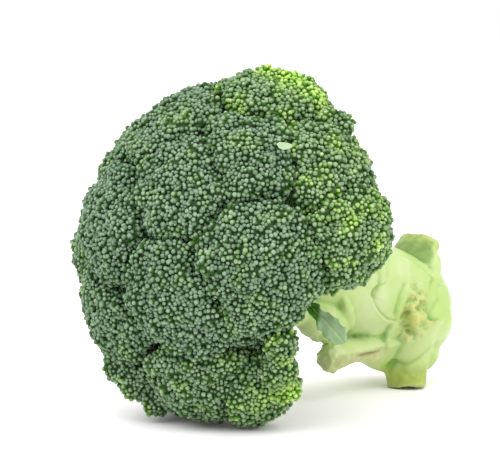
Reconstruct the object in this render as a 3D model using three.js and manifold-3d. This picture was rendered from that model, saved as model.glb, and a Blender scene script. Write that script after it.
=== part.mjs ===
// A picked broccoli head, lying on its side on the buds of its crown and on the stub of a leaf stalk.
// Millimetres, +Z up. The crown faces -Y and the cut end of the stalk faces +Y.
// Every sub-part is first made in the head's own upright frame: the head's middle at the origin, the
// crown's top on +Z and the stalk down -Z. The whole head is then laid down and set on the origin.

import * as THREE from 'three';
import { mergeVertices } from 'three/addons/utils/BufferGeometryUtils.js';
import Module from 'manifold-3d';

const wasm = await Module();
wasm.setup();

// ---------------------------------------------------------------- driving dimensions

const AXIS_RISE = 19.3;          // degrees that the lying head's axis rises towards the crown
const REST_DEPTH = 71;           // from the head's middle straight down to the surface it lies on
const GAP = 0.5;                 // clearance between neighbouring sub-parts

const STALK_END = 127;           // from the head's middle down to the cut end
const STALK_PROFILE = [          // radius and height of the stalk, from the cut end to its divided top
  [20.5, -STALK_END], [22.3, -124.5], [23.8, -118], [24.3, -108], [24, -96], [23.2, -80],
  [22, -64], [20.5, -50], [18.5, -36], [16, -22], [13, -8], [9, 4], [5, 9],
];
const STALK_TIP = 11;            // the stalk's highest point, between the innermost branches
const STALK_SIDES = 24;

const FLORET_NECK = 13;          // from the middle of a floret's dome down to its narrow base
const FLORET_NECK_RADIUS = 11;   // of that base
const DOME_SHOULDER = 3;         // height above the dome's middle where the underside meets the dome
const DOME_DETAIL = 4;           // subdivisions of the ball that a floret's dome is cut from
const DOME_SIDES = 20;
const LEAN = 0.5;                // how far a floret faces outwards rather than along its branch

const MERGE_DISTANCE = 1e-4;     // corners closer than this are one corner

const BRANCH_FOOT = 0.55;        // where a branch starts, as a share of the stalk's radius there
const BRANCH_BEND = 0.4;         // how far back from the neck a branch bends, as a share of its length
const BRANCH_SIDES = 10;
const BRANCH_STEPS = 4;

// ---------------------------------------------------------------- the head's parts

// tilt is the angle of a floret from the head's axis and turn its angle around the axis from +X, in
// degrees. reach runs from the head's middle to the bud tops, round is the radius of the dome, rise
// the height at which the branch leaves the stalk, and thick the radius of that branch.
const FLORETS = [
  { name: 'crown_top', tilt: 13, turn: 40, reach: 73, round: 35, rise: -14, thick: 6 },
  { name: 'crown_left', tilt: 27, turn: -160, reach: 74, round: 35, rise: -20, thick: 6 },
  { name: 'crown_low', tilt: 31, turn: -74, reach: 73, round: 34, rise: -22, thick: 6 },
  { name: 'front_right', tilt: 42, turn: -20, reach: 76, round: 32, rise: -34, thick: 6.5 },
  { name: 'upper_mid', tilt: 38, turn: 38, reach: 73, round: 34, rise: -30, thick: 6 },
  { name: 'upper_left', tilt: 36, turn: 107, reach: 72, round: 35, rise: -28, thick: 6 },
  { name: 'right_shoulder', tilt: 65, turn: 30, reach: 74, round: 32, rise: -58, thick: 7 },
  { name: 'right_rim', tilt: 75, turn: 8, reach: 76, round: 27, rise: -66, thick: 6.5 },
  { name: 'top_rim', tilt: 65, turn: 71, reach: 77, round: 31, rise: -60, thick: 7 },
  { name: 'top_back', tilt: 70, turn: 114, reach: 70, round: 33, rise: -66, thick: 7 },
  { name: 'left_upper_rim', tilt: 62, turn: 152, reach: 71, round: 34, rise: -56, thick: 7 },
  { name: 'left_rim', tilt: 66, turn: -168, reach: 76, round: 35, rise: -62, thick: 7 },
  { name: 'left_lower_rim', tilt: 58, turn: -132, reach: 76, round: 34, rise: -54, thick: 7 },
  { name: 'bottom_left', tilt: 88, turn: -115, reach: 79, round: 32, rise: -68, thick: 7 },
  { name: 'bottom_mid', tilt: 79, turn: -91, reach: 78, round: 31, rise: -58, thick: 7 },
  { name: 'bottom_right', tilt: 87, turn: -75, reach: 77.5, round: 24, rise: -70, thick: 6.5 },
];

// Stubs of the leaf stalks, cut short when the leaves were trimmed. Each spreads by its flare towards
// its root, where it wraps the stalk, and ends in a flat cut. Points are in the upright frame; wide
// and deep are half sizes at the cut.
const STUBS = [
  { root: [2, 6, -104], end: [0, 33.5, -116], wide: 9.5, deep: 6.5, flare: 1.7 },
  { root: [8, -8, -103], end: [13, -36, -112.5], wide: 8.5, deep: 7, flare: 2 },
  { root: [8, -20, -102], end: [6, -30.5, -51], wide: 8.5, deep: 8, flare: 1.25 },
];
const STUB_ACROSS = [1, 0, 0];   // the wide way of every stub
const STUB_SIDES = 16;
const STUB_RINGS = 3;

const LEAF = {
  foot: [15, -10, -26],
  base: [32, -20, -4],
  tip: [50, -33, -11],
  facing: [0.6, -0.15, 0.78],
  width: 10,
  thick: 1.2,
};
const LEAF_STALK_RADIUS = 1.6;
const LEAF_STALK_SIDES = 6;
const LEAF_STALK_ARCH = 4;       // how high its stalk arches
const LEAF_STALK_OVERLAP = 3;    // how far its stalk runs on along the blade
const LEAF_EDGE_STEPS = 6;
const LEAF_SWELL = {              // how the blade's edge bulges: shares of its half width and length
  low: [1.1, 0.1],
  high: [1.3, 0.75],
};
const SCRAP = { tilt: 47, turn: 33, reach: 73.6, size: [6.8, 3.6, 0.8] };
const SCRAP_SIDES = 7;

// ---------------------------------------------------------------- materials

const buds = new THREE.MeshStandardMaterial({ color: 0x5a7a55, roughness: 0.75, metalness: 0 });
const flesh = new THREE.MeshStandardMaterial({ color: 0xc6e48b, roughness: 0.4, metalness: 0 });
const leafGreen = new THREE.MeshStandardMaterial({ color: 0x7aa86a, roughness: 0.6, metalness: 0 });
const paleLeaf = new THREE.MeshStandardMaterial({ color: 0xa7c098, roughness: 0.6, metalness: 0 });

// ---------------------------------------------------------------- solids

function solidOf(geometry) {
  const bare = geometry.index ? geometry.toNonIndexed() : geometry.clone();
  bare.deleteAttribute('normal');
  bare.deleteAttribute('uv');
  const merged = mergeVertices(bare, MERGE_DISTANCE);
  return new wasm.Manifold(new wasm.Mesh({
    numProp: 3,
    vertProperties: merged.attributes.position.array,
    triVerts: merged.index.array,
  }));
}

function meshOf(name, solid, material) {
  const data = solid.getMesh();
  const geometry = new THREE.BufferGeometry();
  geometry.setAttribute('position', new THREE.BufferAttribute(data.vertProperties, 3));
  geometry.setIndex(new THREE.BufferAttribute(data.triVerts, 1));
  geometry.computeVertexNormals();
  const mesh = new THREE.Mesh(geometry, material);
  mesh.name = name;
  return mesh;
}

// Turns a geometry made along +Y so that it runs along a direction, and moves it to a place.
function aim(geometry, direction, place) {
  const turn = new THREE.Quaternion().setFromUnitVectors(new THREE.Vector3(0, 1, 0), direction);
  return geometry.applyQuaternion(turn).translate(place.x, place.y, place.z);
}

// The block of space beyond a plane, as a solid big enough to cut any part of the head.
function beyond(direction, distance) {
  const size = 400;
  const block = new THREE.BoxGeometry(size, size, size);
  return solidOf(aim(block, direction, direction.clone().multiplyScalar(distance + size / 2)));
}

function directionOf(tilt, turn) {
  const polar = THREE.MathUtils.degToRad(tilt);
  const around = THREE.MathUtils.degToRad(turn);
  return new THREE.Vector3(
    Math.sin(polar) * Math.cos(around),
    Math.sin(polar) * Math.sin(around),
    Math.cos(polar),
  );
}

function tube(points, radius, sides) {
  const section = new THREE.Shape();
  section.absarc(0, 0, radius, 0, 2 * Math.PI, false);
  const path = new THREE.QuadraticBezierCurve3(...points);
  return solidOf(new THREE.ExtrudeGeometry(section, {
    steps: BRANCH_STEPS,
    curveSegments: sides / 2,
    bevelEnabled: false,
    extrudePath: path,
  }));
}

// ---------------------------------------------------------------- stalk

function stalkRadiusAt(height) {
  for (let i = 1; i < STALK_PROFILE.length; i += 1) {
    const [lowRadius, low] = STALK_PROFILE[i - 1];
    const [highRadius, high] = STALK_PROFILE[i];
    if (height <= high) {
      return THREE.MathUtils.mapLinear(height, low, high, lowRadius, highRadius);
    }
  }
  return 0;
}

function stalkCore(grow) {
  const outline = [new THREE.Vector2(0, -STALK_END - grow)];
  for (const [radius, height] of STALK_PROFILE) {
    outline.push(new THREE.Vector2(radius + grow, height === -STALK_END ? height - grow : height));
  }
  outline.push(new THREE.Vector2(0, STALK_TIP + grow));
  const lathe = new THREE.LatheGeometry(outline, STALK_SIDES);
  lathe.rotateX(Math.PI / 2);
  return solidOf(lathe);
}

// A stub is an oval bar that tapers from its root to its cut end.
function stub({ root, end, wide, deep, flare }) {
  const from = new THREE.Vector3(...root);
  const to = new THREE.Vector3(...end);
  const along = to.clone().sub(from);
  const bar = new THREE.CylinderGeometry(1, flare, along.length(), STUB_SIDES, STUB_RINGS);
  bar.scale(wide, 1, deep);
  const up = along.normalize();
  const across = new THREE.Vector3(...STUB_ACROSS);
  across.addScaledVector(up, -across.dot(up)).normalize();
  const frame = new THREE.Matrix4().makeBasis(across, up, across.clone().cross(up));
  frame.setPosition(from.add(to).multiplyScalar(0.5));
  return solidOf(bar.applyMatrix4(frame));
}

function stalkSolid() {
  return STUBS.reduce((solid, each) => solid.add(stub(each)), stalkCore(0));
}

// ---------------------------------------------------------------- florets and branches

// Works out where a floret's dome is centred, which way it faces and where its branch runs.
function layOut(floret) {
  const outward = directionOf(floret.tilt, floret.turn);
  const centre = outward.clone().multiplyScalar(floret.reach - floret.round);
  const foot = directionOf(90, floret.turn).multiplyScalar(BRANCH_FOOT * stalkRadiusAt(floret.rise));
  foot.z = floret.rise;
  const climb = centre.clone().sub(foot).normalize();
  const facing = climb.lerp(outward, LEAN).normalize();
  const neck = centre.clone().addScaledVector(facing, -FLORET_NECK);
  return { ...floret, centre, foot, facing, neck };
}

// The dome is a ball, cut where it meets its neighbours, narrowing underneath to its neck. With grow,
// the same shape comes out larger all round, as the space that others keep out of.
function floretSolid(floret, all, grow) {
  const ball = new THREE.IcosahedronGeometry(floret.round + grow, DOME_DETAIL);
  let solid = solidOf(ball.translate(...floret.centre.toArray()));
  const height = FLORET_NECK + DOME_SHOULDER;
  const flare = (floret.round - FLORET_NECK_RADIUS) / height;
  const tall = height + floret.round;
  const narrow = FLORET_NECK_RADIUS + grow;
  const wide = narrow + flare * tall;
  const cone = new THREE.CylinderGeometry(wide, narrow, tall + grow, DOME_SIDES);
  cone.translate(0, (tall - grow) / 2, 0);
  solid = solid.intersect(solidOf(aim(cone, floret.facing, floret.neck)));
  for (const other of all) {
    const apart = other.centre.clone().sub(floret.centre);
    const distance = apart.length();
    if (other === floret || distance > floret.round + other.round) {
      continue;
    }
    const share = (distance ** 2 + floret.round ** 2 - other.round ** 2) / (2 * distance);
    const direction = apart.divideScalar(distance);
    const limit = direction.dot(floret.centre) + share - GAP / 2 + grow;
    solid = solid.subtract(beyond(direction, limit));
  }
  return solid;
}

function branchSolid(floret, radius) {
  const top = floret.neck.clone().addScaledVector(floret.facing, -GAP);
  const rise = top.distanceTo(floret.foot);
  const bend = top.clone().addScaledVector(floret.facing, -rise * BRANCH_BEND);
  return tube([floret.foot, bend, top], radius, BRANCH_SIDES);
}

// ---------------------------------------------------------------- leaf and scrap

function leafSolid() {
  const base = new THREE.Vector3(...LEAF.base);
  const tip = new THREE.Vector3(...LEAF.tip);
  const along = tip.clone().sub(base);
  const length = along.length();
  const half = LEAF.width / 2;
  const outline = new THREE.Shape();
  const [lowSwell, low] = LEAF_SWELL.low;
  const [highSwell, high] = LEAF_SWELL.high;
  outline.moveTo(0, 0);
  outline.bezierCurveTo(half * lowSwell, length * low, half * highSwell, length * high, 0, length);
  outline.bezierCurveTo(-half * highSwell, length * high, -half * lowSwell, length * low, 0, 0);
  const blade = new THREE.ExtrudeGeometry(outline, {
    depth: LEAF.thick,
    curveSegments: LEAF_EDGE_STEPS,
    bevelEnabled: false,
  });
  blade.translate(0, 0, -LEAF.thick / 2);
  const up = along.normalize();
  const face = new THREE.Vector3(...LEAF.facing);
  face.addScaledVector(up, -face.dot(up)).normalize();
  const frame = new THREE.Matrix4().makeBasis(up.clone().cross(face), up, face);
  frame.setPosition(base);
  const foot = new THREE.Vector3(...LEAF.foot);
  const bend = foot.clone().lerp(base, 0.5).add(new THREE.Vector3(0, 0, LEAF_STALK_ARCH));
  const top = base.clone().addScaledVector(up, LEAF_STALK_OVERLAP);
  return solidOf(blade.applyMatrix4(frame)).add(tube([foot, bend, top], LEAF_STALK_RADIUS, LEAF_STALK_SIDES));
}

function scrapMesh() {
  const outward = directionOf(SCRAP.tilt, SCRAP.turn);
  const [length, width, thick] = SCRAP.size;
  const chip = new THREE.CylinderGeometry(length / 2, length / 2, thick, SCRAP_SIDES);
  chip.scale(1, 1, width / length);
  const place = outward.clone().multiplyScalar(SCRAP.reach);
  return meshOf('leaf_scrap', solidOf(aim(chip, outward, place)), paleLeaf);
}

// ---------------------------------------------------------------- the head

function layDown(head) {
  head.rotation.x = THREE.MathUtils.degToRad(90 - AXIS_RISE);
  head.updateMatrixWorld(true);
}

const down = new THREE.Vector3(0, 0, -1)
  .applyAxisAngle(new THREE.Vector3(1, 0, 0), -THREE.MathUtils.degToRad(90 - AXIS_RISE));
const surface = beyond(down, REST_DEPTH);

const head = new THREE.Group();
head.name = 'head';
head.add(meshOf('stalk', stalkSolid().subtract(surface), flesh));

const florets = FLORETS.map(layOut);
const around = florets.map((floret) => floretSolid(floret, florets, GAP));
let taken = stalkCore(GAP);
for (const [index, floret] of florets.entries()) {
  const dome = floretSolid(floret, florets, 0).subtract(surface);
  head.add(meshOf(`floret_${floret.name}`, dome, buds));
  let branch = branchSolid(floret, floret.thick).subtract(taken);
  for (const other of around.filter((_, place) => place !== index)) {
    branch = branch.subtract(other);
  }
  taken = taken.add(branchSolid(floret, floret.thick + GAP));
  head.add(meshOf(`branch_${floret.name}`, branch, flesh));
}
head.add(meshOf('leaf', leafSolid().subtract(taken), leafGreen));
head.add(scrapMesh());
layDown(head);

// The lowest point goes to z = 0 and the middle of the bounding box over the origin.
const broccoli = new THREE.Group();
broccoli.add(head);
const box = new THREE.Box3().setFromObject(head, true);
head.position.set(-(box.min.x + box.max.x) / 2, -(box.min.y + box.max.y) / 2, -box.min.z);
broccoli.updateMatrixWorld(true);

export default broccoli;
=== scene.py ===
# A picked broccoli head, lying on its side: stalk, branches, florets, a small leaf and a leaf scrap.

import math
import random

import bpy
import numpy as np
from mathutils import Matrix, Vector, kdtree, noise


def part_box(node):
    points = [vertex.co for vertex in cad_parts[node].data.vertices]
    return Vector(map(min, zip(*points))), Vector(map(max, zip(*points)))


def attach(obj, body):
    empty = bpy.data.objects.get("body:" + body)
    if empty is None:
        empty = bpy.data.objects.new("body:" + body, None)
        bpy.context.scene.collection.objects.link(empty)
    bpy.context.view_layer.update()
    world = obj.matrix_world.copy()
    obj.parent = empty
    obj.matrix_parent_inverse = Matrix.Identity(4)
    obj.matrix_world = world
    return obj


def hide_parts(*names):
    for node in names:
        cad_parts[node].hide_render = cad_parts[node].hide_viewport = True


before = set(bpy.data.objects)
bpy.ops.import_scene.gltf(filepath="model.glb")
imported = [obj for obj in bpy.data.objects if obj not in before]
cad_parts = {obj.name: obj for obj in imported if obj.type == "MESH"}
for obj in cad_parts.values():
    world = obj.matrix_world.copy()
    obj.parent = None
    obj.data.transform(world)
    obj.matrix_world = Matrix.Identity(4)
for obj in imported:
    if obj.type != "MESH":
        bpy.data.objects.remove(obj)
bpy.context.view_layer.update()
MM = 0.001
bpy.context.scene.view_settings.view_transform = "Standard"
bpy.ops.object.select_all(action="DESELECT")


# ---------------------------------------------------------------------------------------------------
# The stalk is one solid of smooth, wet, pale green flesh. The stubs of three leaf stalks grow out of
# it, trimmed short with a knife, and scars with dried side shoots show where smaller leaves came off.
# It is grown as one piece: overlapping rough shapes are fused, smoothed, and its marks are worked in.

AXIS_RISE = math.radians(19.3)      # the head's axis rises this much towards the crown
REST_DEPTH = 71 * MM                # from the head's middle down to the surface
STALK_END = 127 * MM                # from the head's middle down to the cut end
CUT_RADIUS = 20.5 * MM
STALK_WIDEST = 24.3 * MM

# The head's own upright frame has its middle at the origin and the crown's top on +Z. LAID lays it down.
stalk_low, stalk_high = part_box("stalk")
MIDDLE = Vector((
    stalk_low[0] + STALK_WIDEST,
    stalk_high[1] - STALK_END * math.cos(AXIS_RISE) - CUT_RADIUS * math.sin(AXIS_RISE),
    REST_DEPTH,
))
LAID = Matrix.Translation(MIDDLE) @ Matrix.Rotation(math.pi / 2 - AXIS_RISE, 4, "X")

# Radius and height of the stalk in mm, from its cut end to its divided top.
STALK_PROFILE = [
    (19.6, -127), (20.8, -126.2), (22.3, -124), (23.8, -118), (24.2, -108), (23.9, -96), (23.1, -80),
    (21.9, -64), (20.4, -50), (18.5, -36), (16, -22), (13, -8), (9, 4), (5, 9),
]
STALK_SIDES = 40
STALK_VOXEL = 0.7 * MM
STALK_SMOOTHING = 7
WELD = 0.00001                      # points closer than this are made one, in metres

# Stubs: root, cut end, half width and half depth at the cut, in mm in the upright frame, and how much
# wider the root is.
TOP_STUB = ((3, 6, -104), (2.2, 31.6, -117.8), 10.8, 7.0, 1.6)
FLOOR_STUB = ((10, -8, -106), (14, -36, -112.8), 8.8, 7.2, 2.2)
SLICED_STUB = ((8, -20, -103), (9, -38, -55))
# Its rings from root to tip: share of the way, rise over the straight line, half width, half depth.
SLICED_RINGS = [(0, -1, 10, 11.5), (0.22, 0.4, 9, 9.2), (0.42, 2.4, 7.6, 6.4), (0.56, 3.0, 6.8, 5.2),
                (0.7, 3.4, 6.2, 6.0), (0.84, 3.2, 6.0, 6.9), (0.95, 2.4, 5.6, 6.6), (1.0, 1.6, 3.6, 4.6)]
STUB_SIDES, STUB_STEPS = 28, 8
STUB_CURVE = 1.6                    # how soon a stub narrows from its root
SLICE_FACING = Vector((0.85, -0.50, -0.13)).normalized()
SHADED_FACING = (-0.33, 0.18, 0.92)     # the way the darker side of the top stub faces
SLICE_OFFSET = 4.4                  # the knife passed this far outside the stub's middle, in mm

# Swellings on the stalk: middle, half sizes, turn about the axis and lean along it, in mm and degrees.
SWELLINGS = [
    ((13, 10.5, -112), (8.6, 9.5, 12), 35, 0),          # the sheath of the top stub, round the side
    ((7, 14.5, -114.5), (14.5, 9, 10), 66, 0),          # the flare at the top stub's root
    ((17, -7, -113.5), (10.6, 14.5, 12.4), -18, 0),     # the broad bulge beside the scar
    ((16, 4, -114), (9.4, 11, 11.5), 14, 0),            # its upper half
    ((10, -15, -110), (9, 10, 12), -58, 0),             # the belly over the floor stub
    ((14, -11, -116), (9, 9.5, 10.5), -38, 0),          # between it and the broad bulge
    ((13.6, -18.5, -115), (10.2, 10.6, 10.6), -48, 0),  # its fullness towards the cut end
    ((4, -19, -106), (12, 9.5, 14), -90, 0),            # where the sliced stub and the floor stub meet
    ((6.5, -18.5, -49), (10.8, 9.5, 18), -74, 0),       # the root of the lowest branch
    ((12.9, -14.8, -58), (3.8, 2.9, 14), -49, -30),     # a rib running down from a branch
    ((-10.5, 12.5, -88), (9, 12, 24), 130, 8),          # two sheaths on the far side
    ((-13, -8, -72), (9, 11, 22), -150, -8),
]
# Dried side shoots in the scar: turn, height, and half sizes across and along, in degrees and mm.
NUBS = [
    (4, -88, 2.1, 2.3), (-9, -88.3, 2.5, 2.4), (-3, -91.5, 2.0, 2.2), (-18, -92.3, 4.3, 4.2),
    (-14, -97, 3.2, 4.2), (-24, -95, 3.2, 3.4), (-27, -99.5, 3.0, 3.0), (-40, -97, 2.3, 2.7),
    (-38, -103, 2.3, 2.1), (-32, -105.5, 2.1, 2.0), (4, -96, 1.5, 4.6), (17, -89, 1.6, 1.6),
    (-46, -101, 1.8, 2.2), (-20, -102.5, 2.0, 2.2),
]
NUB_SEAT = 1.01                     # distance of a shoot's middle from the axis over the stalk's radius
NUB_RISE = 1.3                      # how far a shoot stands out, as a share of its half width
SCAR_FLOOR = (-14, -94, 9.5, 13.0)          # turn and height of its middle, half height, half width
SCAR_RADIUS = 22.5                  # of the stalk there, in mm
FAR_SCAR = [(150, -60), (165, -64), (-178, -63), (-166, -57)]
# Edges where one sheath lies over the next: the line, how far it stands proud on its one side and is
# sunk on its other, and how far that reaches, in mm. The proud side is on the left along the line.
SHEATH_EDGES = [
    ([(31, -105), (35, -102), (37, -97), (43, -92), (46, -86), (47, -79), (50, -72)], 1.3, 0.5, 7.0),
    ([(24, -118), (24, -110), (30, -104)], 0.5, 0.3, 6.0),
    ([(16, -86), (8, -82.5), (-2, -81), (-15, -81.2), (-29, -84)], 0.4, 0.9, 4.0),
    ([(-29, -84), (-44, -85.4), (-64, -92)], 0.5, 0.9, 4.5),
    ([(-74, -96), (-66, -99), (-58, -101.5), (-41, -105.5), (-28, -110)], 0.3, 0.9, 5.0),
    (FAR_SCAR, 0.8, 0.5, 5.0),
]
# A shallow curved scratch in the skin: turns and heights along it.
SCRATCH = [
    (5, -67), (0, -63.5), (-6, -61.6), (-12, -61.7), (-20, -65.8), (-27, -71.7), (-31, -79.4), (-28, -85),
]
MARKED_FROM, MARKED_FULL = 12 * MM, 17 * MM     # distances from the axis between which marks set in
# Unevenness of the skin: height in mm, how much slower it changes along the stalk, patch size, seed.
SKIN_WAVES = [(0.35, 0.5, 9 * MM, 5), (0.10, 0.4, 3.5 * MM, 6)]


class Value:
    """A socket that can be reckoned with: an operator on it adds the Math node that does the sum."""

    def __init__(self, tree, socket):
        self.tree = tree
        self.socket = socket

    def math(self, operation, *others):
        return self.tree.add("ShaderNodeMath", {"operation": operation}, self, *others)

    def __add__(self, other):
        return self.math("ADD", other)

    def __radd__(self, other):
        return self.math("ADD", other)

    def __sub__(self, other):
        return self.math("SUBTRACT", other)

    def __rsub__(self, other):
        return self.tree.add("ShaderNodeMath", {"operation": "SUBTRACT"}, other, self)

    def __mul__(self, other):
        return self.math("MULTIPLY", other)

    def __rmul__(self, other):
        return self.math("MULTIPLY", other)


class Tree:
    """A material's or modifier's nodes. add() makes one from its settings, then fills its inputs."""

    def __init__(self, tree):
        self.tree = tree

    def add(self, kind, settings=None, *inputs, out=0, **named):
        made = self.tree.nodes.new(kind)
        for key, value in (settings or {}).items():
            setattr(made, key, value)
        usable = [socket for socket in made.inputs if socket.enabled]
        pairs = list(zip(usable, inputs))
        pairs += [(self.find(usable, key), value) for key, value in named.items()]
        for socket, value in pairs:
            if isinstance(value, Value):
                self.tree.links.new(value.socket, socket)
            elif value is not None:
                socket.default_value = value
        outputs = [socket for socket in made.outputs if socket.enabled]
        if not outputs:
            return None
        chosen = outputs[out] if isinstance(out, int) else self.find(outputs, out)
        return Value(self, chosen)

    @staticmethod
    def find(sockets, key):
        wanted = key.replace("_", " ").lower()
        return next(socket for socket in sockets if socket.name.lower() == wanted)

    def mix(self, share, first, second):
        return self.add("ShaderNodeMix", {"data_type": "RGBA"}, share, first, second)

    def noise(self, scale, detail):
        where = self.add("ShaderNodeTexCoord", None, out="Object")
        return self.add("ShaderNodeTexNoise", None, where, scale=scale, detail=detail, roughness=0.5)

    def smooth(self, value, low, high):
        settings = {"interpolation_type": "SMOOTHSTEP"}
        return self.add("ShaderNodeMapRange", settings, value, low, high, 0.0, 1.0)

    def attribute(self, name):
        return self.add("ShaderNodeAttribute", {"attribute_name": name}, out="Fac")

    def bump(self, height, strength, distance):
        """strength is a share; distance is the relief's depth in metres."""
        return self.add("ShaderNodeBump", None, strength=strength, distance=distance, height=height)


def new_material(name, shown):
    """A material with an empty node tree and its output. shown is its plain colour."""
    material = bpy.data.materials.new(name)
    material.use_nodes = True
    material.diffuse_color = shown
    material.node_tree.nodes.clear()
    return material, Tree(material.node_tree)


def put_out(tree, **finish):
    """The material's surface: one Principled node with these inputs, led to the output."""
    shader = tree.add("ShaderNodeBsdfPrincipled", None, **finish)
    output = tree.tree.nodes.new("ShaderNodeOutputMaterial")
    tree.tree.links.new(shader.socket, output.inputs["Surface"])


def dress(piece, material):
    piece.data.materials.clear()
    piece.data.materials.append(material)


def pick(piece):
    """Selects one piece alone and makes it the active one."""
    bpy.ops.object.select_all(action="DESELECT")
    piece.select_set(True)
    bpy.context.view_layer.objects.active = piece


def open_mesh(piece):
    """Opens a piece's mesh for editing with all of it selected."""
    pick(piece)
    bpy.ops.object.mode_set(mode="EDIT")
    bpy.ops.mesh.select_all(action="SELECT")


def put_in(name, data):
    """Puts new data into the scene as an object."""
    made = bpy.data.objects.new(name, data)
    bpy.context.collection.objects.link(made)
    return made


def shape_with(piece, kind, **settings):
    """Adds a modifier, sets it and applies it."""
    bpy.context.view_layer.objects.active = piece
    modifier = piece.modifiers.new(kind.title(), kind)
    for key, value in settings.items():
        setattr(modifier, key, value)
    bpy.ops.object.modifier_apply(modifier=modifier.name)


def fuse(parts, voxel, smoothing):
    """Joins overlapping closed shapes, fuses them into one skin and softens it."""
    piece = join(parts)
    shape_with(piece, "REMESH", mode="VOXEL", voxel_size=voxel, use_smooth_shade=True)
    if smoothing:
        shape_with(piece, "SMOOTH", factor=0.5, iterations=smoothing)
    return piece


def join(parts):
    """Joins shapes into the first one without changing them."""
    bpy.ops.object.select_all(action="DESELECT")
    for part in parts:
        part.select_set(True)
    bpy.context.view_layer.objects.active = parts[0]
    if len(parts) > 1:
        bpy.ops.object.join()
    return bpy.context.view_layer.objects.active


def set_down(piece, matrix):
    """Moves a piece by a matrix and works its place into its mesh."""
    pick(piece)
    piece.matrix_world = matrix @ piece.matrix_world
    bpy.ops.object.transform_apply(location=True, rotation=True, scale=True)


def raise_column(rings, sides):
    """A column raised ring by ring from an oval disc. A ring is a middle, half width and half depth."""
    bpy.ops.object.select_all(action="DESELECT")
    middle, wide, deep = rings[0]
    bpy.ops.mesh.primitive_circle_add(vertices=sides, radius=1.0, fill_type="NGON", location=middle)
    column = bpy.context.object
    column.scale = (wide, deep, 1.0)
    bpy.ops.object.transform_apply(location=True, rotation=True, scale=True)
    open_mesh(column)
    for (start, old_wide, old_deep), (end, new_wide, new_deep) in zip(rings, rings[1:]):
        step = Vector(end) - Vector(start)
        bpy.ops.mesh.extrude_region_move(TRANSFORM_OT_translate={"value": step})
        size = (new_wide / old_wide, new_deep / old_deep, 1.0)
        bpy.ops.transform.resize(value=size, center_override=end)
    bpy.ops.mesh.select_all(action="SELECT")
    bpy.ops.mesh.normals_make_consistent(inside=False)
    bpy.ops.object.mode_set(mode="OBJECT")
    return column


def swell(middle, half, turn, lean=0):
    """An egg-shaped swelling: middle in metres, half sizes in mm, turn and lean in degrees."""
    bpy.ops.object.select_all(action="DESELECT")
    spin = (math.radians(lean), 0.0, math.radians(turn))
    bpy.ops.mesh.primitive_uv_sphere_add(
        segments=24, ring_count=14, radius=MM, location=middle, rotation=spin
    )
    egg = bpy.context.object
    egg.scale = half
    bpy.ops.object.transform_apply(location=True, rotation=True, scale=True)
    return egg


def stub_frame(root, end):
    """Where a stub stands: its wide way across the stalk, its own axis from root to end."""
    root, end = Vector(root) * MM, Vector(end) * MM
    up = (end - root).normalized()
    across = (Vector((1, 0, 0)) - up * up.x).normalized()
    frame_axes = Matrix((across, up.cross(across), up)).transposed().to_4x4()
    return Matrix.Translation(root) @ frame_axes, (end - root).length


def grow_stub(root, end, wide, deep, flare):
    """A stub widens towards its root in a smooth curve."""
    standing, length = stub_frame(root, end)
    rings = []
    for step in range(STUB_STEPS + 1):
        share = step / STUB_STEPS
        size = (1 + (flare - 1) * (1 - share) ** STUB_CURVE) * MM
        rings.append(((0, 0, length * share), wide * size, deep * size))
    column = raise_column(rings, STUB_SIDES)
    set_down(column, standing)
    return column


def slice_off(piece, place, facing):
    """Cuts away what lies beyond a plane and closes the cut."""
    open_mesh(piece)
    bpy.ops.mesh.bisect(plane_co=place, plane_no=facing, use_fill=True, clear_outer=True)
    bpy.ops.object.mode_set(mode="OBJECT")


def places_of(piece, kind="co"):
    found = np.empty(len(piece.data.vertices) * 3)
    piece.data.vertices.foreach_get(kind, found)
    return found.reshape(-1, 3)


def normals_of(piece):
    return places_of(piece, "normal")


def put_places(piece, places):
    piece.data.vertices.foreach_set("co", places.ravel())
    piece.data.update()


def mark(piece, name, amounts):
    """Writes one number per vertex as a named layer for the material."""
    layer = piece.data.attributes.new(name, "FLOAT", "POINT")
    layer.data.foreach_set("value", np.asarray(amounts, dtype=np.float32))


def keep_above(piece, level):
    """Lifts what would lie under a level up to it."""
    places = places_of(piece)
    places[:, 2] = np.maximum(places[:, 2], level)
    put_places(piece, places)


def bell(values, width):
    """1 at zero, fading smoothly to both sides."""
    return np.exp(-(values / width) ** 2)


def step_up(values, low, high):
    """A smooth step from 0 at low to 1 at high."""
    share = np.clip((values - low) / (high - low), 0.0, 1.0)
    return share * share * (3 - 2 * share)


def hollows(piece, rounds):
    """How far each vertex lies under (+) or over (-) the average of its surroundings, in metres."""
    places, normals = places_of(piece), normals_of(piece)
    pairs = np.empty(len(piece.data.edges) * 2, dtype=np.int64)
    piece.data.edges.foreach_get("vertices", pairs)
    first, second = pairs.reshape(-1, 2).T
    count = np.bincount(first, minlength=len(places)) + np.bincount(second, minlength=len(places))
    softened = places.copy()
    for _ in range(rounds):
        total = np.zeros_like(softened)
        for axis in range(3):
            total[:, axis] += np.bincount(first, softened[second, axis], len(places))
            total[:, axis] += np.bincount(second, softened[first, axis], len(places))
        softened = 0.5 * softened + 0.5 * total / np.maximum(count, 1)[:, None]
    return ((softened - places) * normals).sum(axis=1)


def rough(places, scale, seed):
    """Smooth random numbers from -1 to 1 over space. scale is the size of a patch in metres."""
    shift = Vector((seed * 7.3, seed * 3.1, seed * 5.7))
    return np.array([noise.noise(Vector(place) / scale + shift) for place in places])


def stalk_radius(heights):
    """The stalk's plain radius at heights in metres."""
    radii = [radius * MM for radius, _ in STALK_PROFILE]
    levels = [height * MM for _, height in STALK_PROFILE]
    return np.interp(heights, levels, radii)


def on_stalk(turn, height):
    """A place on the stalk's plain surface, from its turn in degrees and its height in mm."""
    turn = math.radians(turn)
    radius = float(stalk_radius(height * MM))
    return np.array((radius * math.cos(turn), radius * math.sin(turn), height * MM))


LINE_TAPER = 4.5 * MM               # a line of marks fades out over this length at its ends
PAST_END = 3.5                      # past its ends, distances count this many times over


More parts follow.
